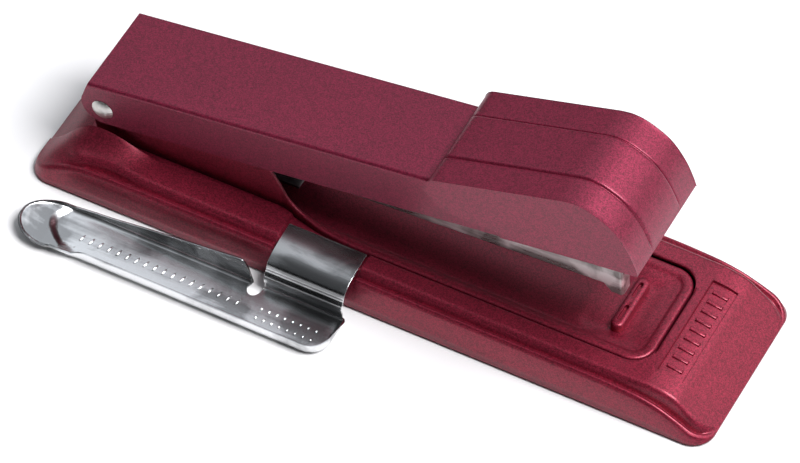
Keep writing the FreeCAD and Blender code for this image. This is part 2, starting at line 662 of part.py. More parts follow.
def driver_carrier():
    """Bent bracket under the handle cover that backs the blade."""
    top = ARM_TOP - ARM_SHEET
    plate = mid_block(CARRIER_REAR, DRIVER_REAR, CARRIER_HALF, top - CARRIER_SHEET, top)
    back = mid_block(DRIVER_REAR - CARRIER_SHEET, DRIVER_REAR, CARRIER_HALF, CORE_TOP + 1.6, top)
    bracket = joined([plate, back])
    for x in CARRIER_RIVETS:
        bracket = bracket.cut(rod_z(x, 0, CARRIER_RIVET_RADIUS, top - 3, top + 2))
    return tilted(bracket, ARM_TILT)


def carrier_rivets():
    top = ARM_TOP - ARM_SHEET
    low = top - CARRIER_SHEET
    rivets = []
    for x in CARRIER_RIVETS:
        shank = rod_z(x, 0, CARRIER_RIVET_RADIUS, low, top)
        head = Part.makeCone(1.6, 2.4, 0.8, Vec(x, 0, low - 0.8), UP)
        rivets.append(tilted(joined([shank, head]), ARM_TILT))
    return Part.makeCompound(rivets)


# ---------------------------------------------------------------- staple remover
def sheet_strip(outer, thickness):
    """Closed side-view ring of a bent strip: an outer line and the same line moved inwards."""
    count = len(outer)
    normals = []
    for index in range(count):
        before = outer[max(index - 1, 0)]
        after = outer[min(index + 1, count - 1)]
        along = (after - before).normalize()
        normals.append(Vec(0, along.z, -along.y))
    inner = [point + normal * thickness for point, normal in zip(outer, normals)]
    return smooth(outer) + lines([outer[-1], inner[-1]]) + smooth(inner[::-1]) + lines([inner[0], outer[0]])


def remover_clip():
    """Spring arm that wraps over the side of the base and ends beside the centre frame."""
    section = [
        (CLIP_INNER, 11.55), (-20.5, 11.25), (-24.6, 10.2), (-27.9, 8.5), (-29.5, 6.0), (BLADE_FAR, 3.4),
        (BLADE_FAR, REMOVER_BOTTOM),
    ]
    outer = [Vec(CLIP_REAR, y, z) for y, z in section]
    return extruded(sheet_strip(outer, -REMOVER_SHEET), Vec(CLIP_FRONT - CLIP_REAR, 0, 0))


def blade_plan():
    """Plan of the blade pushed upwards: straight sides, a rounded end and a spoon-shaped tip."""
    middle = (BLADE_NEAR + BLADE_FAR) / 2
    near_corner = [
        Vec(BLADE_END, BLADE_NEAR + 5, 0), Vec(BLADE_END - 1.5, BLADE_NEAR + 1.5, 0),
        Vec(BLADE_END - 5, BLADE_NEAR, 0),
    ]
    spoon = [
        (BLADE_WAIST, BLADE_NEAR), (-76.0, BLADE_NEAR - 0.6), (-83.0, BLADE_NEAR + 1.0),
        (BLADE_TIP, middle - 2.0), (-85.0, BLADE_FAR - 3.0), (-77.5, BLADE_FAR + 0.2),
        (BLADE_WAIST, BLADE_FAR),
    ]
    edges = lines([Vec(BLADE_WAIST, BLADE_FAR, 0), Vec(BLADE_END, BLADE_FAR, 0), near_corner[0]])
    edges += arc(*near_corner) + lines([near_corner[-1], Vec(BLADE_WAIST, BLADE_NEAR, 0)])
    edges += smooth([Vec(x, y, 0) for x, y in spoon])
    return extruded(edges, Vec(0, 0, 14))


def blade_floor(plan):
    """Sheet floor of the blade, level and then rising to the tip."""
    far_tip = BLADE_TIP - 2
    start = BLADE_WAIST - 3
    rise = xz([(start, REMOVER_BOTTOM), (-80.0, 1.2), (far_tip, BLADE_LIFT)], -50)
    rise_top = [point + Vec(0, 0, REMOVER_SHEET) for point in rise]
    end = Vec(BLADE_END, -50, REMOVER_BOTTOM)
    end_top = end + Vec(0, 0, REMOVER_SHEET)
    ribbon = (
        lines([end, rise[0]]) + smooth(rise, Vec(-1, 0, 0), Vec(-1, 0, 0.6)) + lines([rise[-1], rise_top[-1]])
        + smooth(rise_top[::-1], Vec(1, 0, -0.6), Vec(1, 0, 0)) + lines([rise_top[0], end_top, end])
    )
    return extruded(ribbon, Vec(0, 30, 0)).common(plan)


def staple_remover():
    """Sheet-steel staple remover, clipped to the near side of the base."""
    plan = blade_plan()
    floor_top = REMOVER_BOTTOM + REMOVER_SHEET
    walls = plan.cut(plan.makeOffsetShape(-REMOVER_SHEET, 0.01))
    middle = (BLADE_NEAR + BLADE_FAR) / 2
    near_flange = walls.common(block(-80, 0, -50, middle, REMOVER_BOTTOM, BLADE_RIM))
    rising = prism_xz(FAR_RIM + [(-28.0, REMOVER_BOTTOM), (-80.0, REMOVER_BOTTOM)], 50)
    far_flange = walls.common(rising.common(block(-80, -28, middle, 0, REMOVER_BOTTOM, 12)))
    low_end = walls.common(block(-28, 0, middle, 0, REMOVER_BOTTOM, floor_top))
    seam_far = BLADE_FAR + REMOVER_SHEET - 0.1
    seam = block(CLIP_REAR, CLIP_FRONT, BLADE_FAR - 1, seam_far, REMOVER_BOTTOM, floor_top)
    body = joined([blade_floor(plan), near_flange, far_flange, low_end, seam, remover_clip()])
    return body.cut(rod_z(NOTCH_X, BLADE_FAR - 0.6, NOTCH_RADIUS, -1, 11))


# ---------------------------------------------------------------- write the parts
PARTS = {
    "base_shell": base_shell,
    "base_frame": base_frame,
    "anvil": anvil,
    "base_pad": base_pad,
    "pivot_rivet": pivot_rivet,
    "pivot_spacer_near": pivot_spacer_near,
    "pivot_spacer_far": pivot_spacer_far,
    "lift_spring": lift_spring,
    "lift_spring_rivet": lift_spring_rivet,
    "arm_washers": arm_washers,
    "magazine_channel": magazine_channel,
    "front_plate": front_plate,
    "staple_core": staple_core,
    "rod_anchor": rod_anchor,
    "guide_rod": guide_rod,
    "core_rivets": core_rivets,
    "pivot_bush": pivot_bush,
    "return_spring": return_spring,
    "staple_strip": staple_strip,
    "pusher": pusher,
    "pusher_spring": pusher_spring,
    "arm_cover": arm_cover,
    "cap": cap,
    "driver_blade": driver_blade,
    "driver_carrier": driver_carrier,
    "carrier_rivets": carrier_rivets,
    "staple_remover": staple_remover,
}

os.makedirs("parts", exist_ok=True)
for node, make in PARTS.items():
    shape = make()
    shape.exportStep("parts/" + node + ".step")
    state = "valid" if shape.isValid() else "INVALID"
    print(node, len(shape.Solids), "solid(s)", round(shape.Volume, 1), "mm3", state)
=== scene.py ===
"""Looks of the desk stapler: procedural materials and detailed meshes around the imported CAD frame.

Metres, +X towards the nose, +Z up, the same frame as the CAD.
"""

import json
import math

import bmesh
import bpy
from mathutils import Matrix, Vector


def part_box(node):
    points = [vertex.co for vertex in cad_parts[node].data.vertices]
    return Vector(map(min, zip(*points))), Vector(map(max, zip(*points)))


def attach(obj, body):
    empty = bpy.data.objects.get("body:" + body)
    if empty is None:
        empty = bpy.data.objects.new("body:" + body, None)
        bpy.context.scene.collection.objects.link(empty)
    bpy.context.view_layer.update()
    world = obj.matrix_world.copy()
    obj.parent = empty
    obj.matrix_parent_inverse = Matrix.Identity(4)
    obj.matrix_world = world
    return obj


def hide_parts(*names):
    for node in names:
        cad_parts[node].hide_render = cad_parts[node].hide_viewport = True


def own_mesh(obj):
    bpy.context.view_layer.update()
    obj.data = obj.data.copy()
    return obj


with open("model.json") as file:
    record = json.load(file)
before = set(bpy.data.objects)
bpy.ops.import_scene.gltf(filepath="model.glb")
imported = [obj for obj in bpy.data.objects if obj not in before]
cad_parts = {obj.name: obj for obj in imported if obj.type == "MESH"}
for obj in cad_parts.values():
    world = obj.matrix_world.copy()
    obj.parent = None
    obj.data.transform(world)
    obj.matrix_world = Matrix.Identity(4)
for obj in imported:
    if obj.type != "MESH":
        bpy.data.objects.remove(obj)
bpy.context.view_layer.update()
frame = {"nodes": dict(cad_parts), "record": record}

MM = 0.001


# ---------------------------------------------------------------- material helpers
class Nodes:
    """Short way to build a node material."""

    def __init__(self, name):
        self.material = bpy.data.materials.new(name)
        self.material.use_nodes = True
        self.tree = self.material.node_tree
        self.shader = self.tree.nodes["Principled BSDF"]
        self.place = self.add("ShaderNodeTexCoord").outputs["Object"]

    def add(self, kind, inputs=None, **settings):
        node = self.tree.nodes.new(kind)
        for key, value in settings.items():
            setattr(node, key, value)
        for key, value in (inputs or {}).items():
            self.feed(node.inputs[key], value)
        return node

    def feed(self, socket, value):
        if isinstance(value, bpy.types.NodeSocket):
            self.tree.links.new(value, socket)
        else:
            socket.default_value = value

    def shade(self, **inputs):
        """Sets or links inputs of the shader; an underscore stands for the space in an input's name."""
        for key, value in inputs.items():
            self.feed(self.shader.inputs[key.replace("_", " ")], value)

    def noise(self, scale, detail=3.0, stretch=(1, 1, 1), distortion=0.0):
        mapping = self.add("ShaderNodeMapping", {"Vector": self.place, "Scale": stretch})
        return self.add("ShaderNodeTexNoise", {
            "Vector": mapping.outputs["Vector"], "Scale": scale, "Detail": detail,
            "Distortion": distortion}).outputs["Fac"]

    def cells(self, scale):
        """One random grey value per cell, for flakes."""
        node = self.add("ShaderNodeTexVoronoi", {"Vector": self.place, "Scale": scale})
        return self.add("ShaderNodeSeparateColor", {"Color": node.outputs["Color"]}).outputs["Red"]

    def ramp(self, value, stops):
        """Colour that changes with value through (place, (red, green, blue)) stops."""
        node = self.add("ShaderNodeValToRGB", {"Fac": value})
        elements = node.color_ramp.elements
        while len(elements) < len(stops):
            elements.new(0.5)
        for element, (place, colour) in zip(elements, stops):
            element.position = place
            element.color = (*colour, 1)
        return node.outputs["Color"]

    def span(self, value, low, high):
        """Value from 0 to 1 spread from low to high."""
        node = self.add("ShaderNodeMapRange", {"Value": value, "To Min": low, "To Max": high})
        return node.outputs["Result"]

    def mix(self, share, first, second, blend="MIX"):
        node = self.add("ShaderNodeMix", data_type="RGBA", blend_type=blend)
        self.feed(node.inputs[0], share)
        self.feed(node.inputs[6], first)
        self.feed(node.inputs[7], second)
        return node.outputs[2]

    def total(self, first, second, weight=1.0):
        """first + second * weight."""
        node = self.add("ShaderNodeMath", {0: second, 1: weight, 2: first}, operation="MULTIPLY_ADD")
        return node.outputs["Value"]

    def bump(self, height, strength, distance):
        node = self.add("ShaderNodeBump", {"Height": height, "Strength": strength, "Distance": distance})
        self.feed(self.shader.inputs["Normal"], node.outputs["Normal"])


def metallic_paint(name, colour, flake_lift, roughness, grain):
    """Solid metallic paint: fine aluminium flake, faint mottling, satin coat and a little orange peel."""
    m = Nodes(name)
    flake = m.cells(4200.0)
    mottle = m.noise(38.0, 4.0)
    dark, bright = [(*[c * lift for c in colour], 1) for lift in (1 - flake_lift, 1 + flake_lift)]
    flaked = m.mix(flake, dark, bright)
    cloud = m.ramp(mottle, [(0.3, (0.90, 0.90, 0.92)), (0.7, (1.0, 1.0, 1.0))])
    m.shade(Base_Color=m.mix(1.0, flaked, cloud, "MULTIPLY"), Metallic=0.66)
    m.shade(Roughness=m.span(m.total(mottle, flake, 0.5), roughness - 0.05, roughness + 0.07))
    m.shade(Coat_Weight=0.38, Coat_Roughness=0.28, Coat_IOR=1.5)
    m.bump(m.total(m.noise(1500.0, 2.0), flake, 0.6), 0.12, grain)
    return m.material


def chrome(name, dark, bright, roughness, brushed, smudge, wear, metallic=1.0):
    """Plated steel: rolled streaks and handling film from dark to bright, faint brushing, small nicks."""
    m = Nodes(name)
    film = m.noise(60.0, 5.0, distortion=0.6)
    streak = m.noise(330.0, 4.0, stretch=brushed)
    scratch = m.noise(1400.0, 5.0, stretch=brushed)
    tone = m.span(m.total(film, streak, 0.5), -2.0, 1.35)
    colour = m.ramp(tone, [(0.25, dark), (0.75, bright)])
    nick = m.ramp(m.noise(420.0, 2.0), [(0.20, (0.45, 0.43, 0.42)), (0.26, (1, 1, 1))])
    m.shade(Base_Color=m.mix(wear, colour, m.mix(1.0, colour, nick, "MULTIPLY")), Metallic=metallic)
    m.shade(Roughness=m.span(m.total(film, scratch, 0.6), roughness, roughness + smudge))
    m.bump(m.total(scratch, film, 0.4), 0.08, 0.00004)
    return m.material


def rubber(name):
    """Matt black rubber with dust and a pebbled skin."""
    m = Nodes(name)
    dust = m.noise(120.0, 5.0)
    m.shade(Base_Color=m.ramp(dust, [(0.35, (0.012, 0.012, 0.013)), (0.75, (0.035, 0.034, 0.034))]))
    m.shade(Roughness=m.span(dust, 0.62, 0.85))
    m.bump(m.total(m.noise(2200.0, 3.0), m.cells(1500.0), 0.4), 0.5, 0.00012)
    return m.material


def moulding(name):
    """Dark moulded plastic with a fine eroded grain."""
    m = Nodes(name)
    grain = m.noise(1600.0, 3.0)
    shade = m.noise(90.0, 3.0)
    m.shade(Base_Color=m.ramp(shade, [(0.3, (0.02, 0.02, 0.022)), (0.8, (0.035, 0.035, 0.038))]))
    m.shade(Roughness=m.span(grain, 0.35, 0.5))
    m.bump(grain, 0.3, 0.00008)
    return m.material


RECIPES = {      # slot: (function, its values)
    "base_paint": (metallic_paint, (0.232, 0.012, 0.034), 0.50, 0.42, 0.00008),
    "arm_paint": (metallic_paint, (0.215, 0.012, 0.042), 0.46, 0.43, 0.00007),
    "cap_paint": (metallic_paint, (0.225, 0.014, 0.044), 0.50, 0.43, 0.00009),
    "pad_rubber": (rubber,),
    "rivet_chrome": (chrome, (0.60, 0.58, 0.55), (0.84, 0.83, 0.80), 0.22, (1, 1, 1), 0.2, 0.5),
    "chrome_plate": (chrome, (0.30, 0.30, 0.29), (0.90, 0.90, 0.89), 0.18, (0.05, 1, 1), 0.14, 0.3, 0.92),
    "remover_chrome": (chrome, (0.36, 0.365, 0.37), (0.82, 0.83, 0.84), 0.13, (0.05, 1, 1), 0.12, 0.6),
    "plain_steel": (chrome, (0.40, 0.39, 0.38), (0.58, 0.57, 0.55), 0.30, (0.1, 1, 1), 0.15, 0.6),
    "spring_steel": (chrome, (0.30, 0.30, 0.31), (0.46, 0.46, 0.48), 0.26, (1, 1, 1), 0.12, 0.3),
    "staple_wire": (chrome, (0.60, 0.60, 0.59), (0.76, 0.76, 0.75), 0.22, (1, 0.1, 1), 0.12, 0.2),
    "brass_bush": (chrome, (0.60, 0.42, 0.18), (0.76, 0.56, 0.26), 0.25, (1, 1, 1), 0.12, 0.4),
    "pusher_moulding": (moulding,),
}
MATERIALS = {slot: recipe(slot, *values) for slot, (recipe, *values) in RECIPES.items()}


def dress_cad_nodes():
    """Gives every CAD node the material of its slot in the record."""
    slots = {row["node"]: row["material_slot"] for row in frame["record"]["subparts"]}
    for name, obj in frame["nodes"].items():
        obj.data.materials.clear()
        obj.data.materials.append(MATERIALS[slots[name]])


dress_cad_nodes()


# ---------------------------------------------------------------- mesh helpers (millimetres in, metres out)
def clamp(value):
    """Value held between 0 and 1."""
    return max(0.0, min(1.0, value))


def ease(value):
    """Smooth step from 0 to 1."""
    t = clamp(value)
    return t * t * (3 - 2 * t)


def span_list(start, end, step):
    """Even stations from start to end, about step apart."""
    count = max(1, round(abs(end - start) / step))
    return [start + (end - start) * k / count for k in range(count + 1)]


def joined_stations(*lists):
    """One rising list of stations without near repeats."""
    values = sorted(value for part in lists for value in part)
    kept = values[:1]
    for value in values[1:]:
        if value - kept[-1] > 0.02:
            kept.append(value)
    return kept


def smooth_through(points):
    """Height function through (x, z) points: monotone cubic, level beyond the ends."""
    xs = [x for x, z in points]
    zs = [z for x, z in points]
    rises = [(zs[k + 1] - zs[k]) / (xs[k + 1] - xs[k]) for k in range(len(xs) - 1)]
    slopes = [rises[0]]
    for before, after in zip(rises, rises[1:]):
        slopes.append(0.0 if before * after <= 0 else 2 * before * after / (before + after))
    slopes.append(rises[-1])

    def height(x):
        if x <= xs[0]:
            return zs[0]
        for k in range(len(xs) - 1):
            if x <= xs[k + 1]:
                width = xs[k + 1] - xs[k]
                t = (x - xs[k]) / width
                return ((1 + 2 * t) * (1 - t) ** 2 * zs[k] + t * (1 - t) ** 2 * width * slopes[k]
                        + t * t * (3 - 2 * t) * zs[k + 1] + t * t * (t - 1) * width * slopes[k + 1])
        return zs[-1]

    return height


def piece(name, points, faces, slot, sharp=32.0):
    """Mesh object from millimetre points, with the material of a slot."""
    mesh = bpy.data.meshes.new(name)
    mesh.from_pydata([Vector(point) * MM for point in points], [], faces)
    mesh.validate()
    mesh.materials.append(MATERIALS[slot])
    mesh.shade_smooth()
    mesh.set_sharp_from_angle(angle=math.radians(sharp))
    obj = bpy.data.objects.new(name, mesh)
    bpy.context.scene.collection.objects.link(obj)
    return obj


def thickened(obj, thickness, offset=-1.0):
    """Sheet metal: gives the surface its gauge."""
    modifier = obj.modifiers.new("gauge", "SOLIDIFY")
    modifier.thickness = thickness * MM
    modifier.offset = offset
    return obj


def softened(obj, width, angle=38.0, segments=2):
    """Small radius on the crisp edges."""
    modifier = obj.modifiers.new("edge", "BEVEL")
    modifier.width = width * MM
    modifier.segments = segments
    modifier.limit_method = "ANGLE"
    modifier.angle_limit = math.radians(angle)
    return obj


class Builder:
    """Collects points and faces of several parts of one mesh."""

    def __init__(self):
        self.points, self.faces = [], []

    def grid(self, rows, keep=None, closed=False):
        """Quads over rows of points; keep(row, column) may leave some out."""
        start, width = len(self.points), len(rows[0])
        for row in rows:
            self.points += row
        last = width if closed else width - 1
        for r in range(len(rows) - 1):
            for c in range(last):
                if keep is None or keep(r, c):
                    here, there = start + r * width, start + (r + 1) * width
                    after = (c + 1) % width
                    self.faces.append((here + c, there + c, there + after, here + after))

    def polygon(self, ring):
        """One flat face over a ring of points."""
        start = len(self.points)
        self.points += ring
        self.faces.append(tuple(range(start, start + len(ring))))

    def prism(self, ring, shift):
        """Closed solid: a flat ring pushed by a vector."""
        moved = [tuple(a + b for a, b in zip(point, shift)) for point in ring]
        start, count = len(self.points), len(ring)
        self.points += list(ring) + moved
        self.faces.append(tuple(range(start, start + count)))
        self.faces.append(tuple(range(start + 2 * count - 1, start + count - 1, -1)))
        for k in range(count):
            after = (k + 1) % count
            self.faces.append((start + after, start + k, start + count + k, start + count + after))

    def make(self, name, slot, sharp=32.0):
        return piece(name, self.points, self.faces, slot, sharp)


def recalculated(obj):
    """Same mesh with all normals pointing outwards."""
    work = bmesh.new()
    work.from_mesh(obj.data)
    bmesh.ops.recalc_face_normals(work, faces=work.faces)
    work.to_mesh(obj.data)
    work.free()
    return obj


def merged(obj):
    """Same mesh with its coincident points joined."""
    work = bmesh.new()
    work.from_mesh(obj.data)
    bmesh.ops.remove_doubles(work, verts=work.verts, dist=0.00002)
    work.to_mesh(obj.data)
    work.free()
    return obj


def points_down(obj):
    """Whether most of the mesh faces downwards."""
    return sum(face.normal.z * face.area for face in obj.data.polygons) < 0


def carve(obj, tool):
    """Cuts tool out of obj and removes tool."""
    modifier = obj.modifiers.new("carve", "BOOLEAN")
    modifier.operation = "DIFFERENCE"
    modifier.object = tool
    bpy.context.view_layer.update()
    carved = bpy.data.meshes.new_from_object(obj.evaluated_get(bpy.context.evaluated_depsgraph_get()))
    obj.modifiers.remove(modifier)
    obj.data = carved
    bpy.data.objects.remove(tool)


# ---------------------------------------------------------------- base shell
HALF_LENGTH, HALF_WIDTH, CORNER = 95.0, 25.7, 6.0
SHELL_BOTTOM, RIDGE, PLATEAU, SHELL_SHEET = 0.8, 10.2, 11.65, 0.7
WALL_SHARE = 0.87       # share of the ridge's height that the steep outer wall takes
FRAME_FRONT, FRAME_REAR, FRAME_CORNER, FRAME_HALF, FRAME_NARROW = 73.65, -84.0, 6.0, 15.85, 12.1
SLIT = 0.5
OPEN_FRONT, OPEN_REAR = FRAME_FRONT + SLIT, FRAME_REAR - SLIT
PLAQUE_X, PLAQUE_HALF, PLAQUE_DEPTH, PLAQUE_EDGE = (77.0, 83.6), 15.6, 0.75, 0.2
CLIP_X, SEAT_DEPTH = (-24.2, -2.4), 0.95       # the remover's clip lies in a shallow seat

ridge_height = smooth_through([
    (-95, 1.9), (-91, 4.6), (-87, 6.8), (-79, 9.6), (-71, RIDGE), (62, RIDGE), (74, 9.6), (80, 8.5),
    (85, 6.6), (90, 4.0), (95, 1.2)])
plateau_height = smooth_through([
    (-95, 1.9), (-91, 5.5), (-87, 8.2), (-80, 10.9), (-72, PLATEAU), (76, PLATEAU), (80, 11.25),
    (83.6, 10.25), (88, 6.95), (92, 3.7), (95, 1.2)])
flare = smooth_through([(-28.5, FRAME_NARROW), (-23, 13.4), (-15, 15.15), (-7, FRAME_HALF)])


def shell_half_width(x):
    """Half width of the shell's outline, with its rounded corners."""
    into_corner = abs(x) - (HALF_LENGTH - CORNER)
    if into_corner <= 0:
        return HALF_WIDTH
    return HALF_WIDTH - CORNER + math.sqrt(max(CORNER ** 2 - into_corner ** 2, 0.0))


def frame_half_width(x, margin):
    """Half width of the centre frame's outline, grown by margin."""
    radius = FRAME_CORNER + margin
    into_corner = x - (FRAME_FRONT - FRAME_CORNER)
    wide = flare(x) + margin
    if into_corner <= 0:
        return wide
    return wide - radius + math.sqrt(max(radius ** 2 - min(into_corner, radius) ** 2, 0.0))


def window(value, low, high, edge):
    """1 between low and high, falling to 0 over edge outside them."""
    return ease((value - low) / edge + 1) * ease((high - value) / edge + 1)


def hump(x, y):
    """Shoulder that rises beside the handle's rear end."""
    reach = 12.0 if x < -81 else 20.0
    along = clamp(abs(x + 81) / reach)
    if abs(y) < 14.1:
        return 0.0
    across = clamp((21.2 - abs(y)) / 6.8)
    return 4.6 * math.cos(along * math.pi / 2) ** 2 * across ** 2


def shell_surface(x, y):
    """Height of the shell's outer face; y may be either side."""
    inward = shell_half_width(x) - abs(y)
    ridge, plateau = ridge_height(x), plateau_height(x)
    wall = clamp(inward) * WALL_SHARE
    if inward > 1.0:
        wall = WALL_SHARE + (1 - WALL_SHARE) * math.sin(clamp((inward - 1.0) / 0.95) * math.pi / 2)
    smooth_rear = 1 - ease((x + 89) / 8)            # the rear ramp has no step or groove
    leaf = math.exp(-((x + 73) / 7.0) ** 2)         # pointed dent where the shoulder starts
    step_width = 1.9 + 5.0 * smooth_rear + 0.9 * leaf
    step = ease((inward - 2.9 - 0.3 * leaf) / step_width)
    nose = ease((x - 76) / 10) * ease((95 - x) / 4)
    groove = (0.6 + 1.0 * leaf) * (1 - smooth_rear) * ease((94 - x) / 4) + 0.6 * nose
    dip = groove * math.exp(-((inward - 2.9 - 0.5 * leaf) / (0.45 + 0.45 * leaf + 0.15 * nose)) ** 2)
    height = SHELL_BOTTOM + (ridge - SHELL_BOTTOM) * wall + (plateau - ridge) * step - dip + hump(x, y)
    plaque = window(x, *PLAQUE_X, PLAQUE_EDGE) * window(y, -PLAQUE_HALF, PLAQUE_HALF, PLAQUE_EDGE)
    seat = window(x, CLIP_X[0] - 0.3, CLIP_X[1] + 0.3, 0.5) * clamp((inward - 0.4) / 1.2)
    return height - PLAQUE_DEPTH * plaque - SEAT_DEPTH * (seat if y < 0 else 0.0)


EDGE_INSETS = [
    0, 0.3, 0.65, 1.0, 1.12, 1.27, 1.5, 1.75, 2.0, 2.25, 2.5, 2.75, 3.0, 3.25, 3.55, 3.9, 4.3, 4.8, 5.4]
INNER_SHARES = [1 - k / 13 for k in range(1, 11)] + [0.178, 0.134]
LIP_DROP = 0.75
ROLL = [(0.35, 0.0), (0.1, 0.22), (0.0, LIP_DROP)]      # rolled lip along the opening: (inset, drop)


def shell_half_columns(x):
    """(y, drop) from the outer edge to the opening's lip, on the positive side."""
    width, opening = shell_half_width(x), frame_half_width(max(x, OPEN_REAR), SLIT)
    columns = [(width - inset, 0.0) for inset in EDGE_INSETS]
    outer, inner = width - EDGE_INSETS[-1], opening + ROLL[0][0]
    columns += [(inner + (outer - inner) * share, 0.0) for share in INNER_SHARES]
    in_opening = OPEN_REAR <= x < OPEN_FRONT
    beyond = x - OPEN_REAR if x < 0 else abs(x - OPEN_FRONT)
    end_drop = LIP_DROP * (1 - ease(beyond / 0.4))
    columns += [(opening + inset, drop if in_opening else end_drop) for inset, drop in ROLL]
    if PLAQUE_X[0] - 1 < x < PLAQUE_X[1] + 1:
        edge = PLAQUE_HALF + PLAQUE_EDGE
        nearest = min(range(len(columns)), key=lambda k: abs(columns[k][0] - edge))
        columns[nearest] = (edge, columns[nearest][1])
        columns[nearest + 1] = (PLAQUE_HALF, columns[nearest + 1][1])
    return columns


def shell_stations():
    """X of the shell's rows, closer together at its ends, corners, recess and seat."""
    corner = [HALF_LENGTH - CORNER + CORNER * math.sin(math.radians(a)) for a in range(0, 91, 6)]
    open_corner = [OPEN_FRONT - FRAME_CORNER - SLIT + (FRAME_CORNER + SLIT) * math.sin(math.radians(a))
                   for a in range(0, 91, 7)]
    marks = [OPEN_REAR, OPEN_FRONT, OPEN_FRONT + 0.1, OPEN_FRONT + 0.2, OPEN_FRONT + 0.4]
    marks += [PLAQUE_X[0] - PLAQUE_EDGE, PLAQUE_X[0], PLAQUE_X[1], PLAQUE_X[1] + PLAQUE_EDGE]
    marks += [CLIP_X[0] - margin for margin in (0.8, 0.55, 0.3)]
    marks += [CLIP_X[1] + margin for margin in (0.3, 0.55, 0.8)]
    return joined_stations(
        [-value for value in corner], span_list(-89, -60, 0.8), span_list(-60, -30, 2.0),
        span_list(-30, -5, 1.0), span_list(-5, 66, 3.0), span_list(66, 89, 0.6), open_corner, marks, corner)


def base_shell():
    """Pressed sheet-metal shell with the opening for the centre frame."""
    rows, opened = [], []
    for x in shell_stations():
        half = shell_half_columns(x)
        near = [(x, -y, shell_surface(x, -y) - drop) for y, drop in half]
        far = [(x, y, shell_surface(x, y) - drop) for y, drop in reversed(half)]
        rows.append(near + far)
        opened.append(OPEN_REAR - 0.01 <= x < OPEN_FRONT - 0.01)
    middle = len(rows[0]) // 2 - 1
    feet = [[(x, y, min(SHELL_BOTTOM, z)) for x, y, z in row] for row in (rows[0], rows[-1])]
    rows = [feet[0]] + rows + [feet[1]]
    opened = [False] + opened + [False]
    shell = Builder()
    shell.grid(rows, keep=lambda r, c: not (c == middle and opened[r]))
    obj = shell.make("shell_skin", "base_paint", sharp=50.0)
    thickened(obj, SHELL_SHEET)
    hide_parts("base_shell")
    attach(obj, "base")


def plaque_bars():
    """Plain raised bars in the nose recess."""
    bars = Builder()
    count, spacing, length, width, rise = 9, 3.2, 4.2, 1.1, 0.5
    centre_x = sum(PLAQUE_X) / 2
    for k in range(count):
        y = (k - (count - 1) / 2) * spacing
        rings = []
        for inset, lift in ((0, -0.15), (0.0, 0.6), (0.12, 0.92), (0.3, 1.0)):
            x_low, x_high = centre_x - length / 2 + inset, centre_x + length / 2 - inset
            corners = [(x_low, y - width / 2 + inset), (x_high, y - width / 2 + inset),
                       (x_high, y + width / 2 - inset), (x_low, y + width / 2 - inset)]
            rings.append([(cx, cy, shell_surface(cx, 0) + rise * lift) for cx, cy in corners])
        bars.grid(rings, closed=True)
        bars.polygon(rings[-1])
    obj = recalculated(bars.make("plaque_bars", "base_paint", sharp=60.0))
    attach(obj, "base")


# ---------------------------------------------------------------- centre frame
FRAME_UNDER, FRAME_FLOOR, FRAME_TOP, RIM_WIDTH = 8.8, 9.8, 11.3, 2.95
DISH, DISH_REAR, DISH_CORNER = 0.45, 51.0, 4.0
PIVOT_X, PIVOT_Z, EAR_CROWN, EAR_SHEET, EAR_JOIN = -78.7, 22.1, 6.3, 0.9, -42.0
rim_top = smooth_through([
    (EAR_JOIN, 26.4), (-34.5, 24.6), (-31.6, 22.4), (-29.9, 19.6), (-28.2, 16.6), (-26.0, 14.2),
    (-22.0, 12.3), (-17.0, 11.5), (-12.0, FRAME_TOP)])
rim_width = smooth_through([(-27.0, EAR_SHEET), (-10.0, RIM_WIDTH)])
RIM_SHAPE = [       # (share of the rim's width, height below its top)
    (0, -0.6), (0.03, -0.36), (0.08, -0.18), (0.15, -0.06), (0.25, 0), (0.42, 0), (0.56, -0.05), (0.7, -0.16),
    (0.84, -0.36), (1.0, -0.7)]


def frame_depth(x, y):
    """Distance from the frame's outline inwards."""
    half = frame_half_width(min(x, FRAME_FRONT), 0.0)
    corner_x, corner_y = FRAME_FRONT - FRAME_CORNER, FRAME_HALF - FRAME_CORNER
    if x > corner_x and abs(y) > corner_y:
        return FRAME_CORNER - math.hypot(x - corner_x, abs(y) - corner_y)
    return min(half - abs(y), FRAME_FRONT - x)


def dish(x, y):
    """Depth of the rounded pocket around the anvil."""
    front, half = FRAME_FRONT - RIM_WIDTH - 2.4, FRAME_HALF - RIM_WIDTH - 1.6
    away_x = max(abs(x - (DISH_REAR + front) / 2) - ((front - DISH_REAR) / 2 - DISH_CORNER), 0)
    away_y = max(abs(y) - (half - DISH_CORNER), 0)
    return DISH * ease((DISH_CORNER - math.hypot(away_x, away_y)) / 3.4)


def frame_surface(x, y):
    """Height of the tray's upper face: rim, slope down from it, and floor with its pocket."""
    if x < EAR_JOIN:
        return FRAME_FLOOR
    top = rim_top(x)
    share = frame_depth(x, y) / rim_width(x)
    reach = 1.35 + 1.6 * ease((x - 52) / 12)
    floor_height = FRAME_FLOOR - dish(x, y)
    if share >= reach:
        return floor_height
    for (low, below_low), (high, below_high) in zip(RIM_SHAPE, RIM_SHAPE[1:]):
        if share <= high:
            t = (share - low) / (high - low)
            return top + below_low + (below_high - below_low) * t
    foot = top + RIM_SHAPE[-1][1]
    return foot + (floor_height - foot) * math.sin((share - 1.0) / (reach - 1.0) * math.pi / 2)


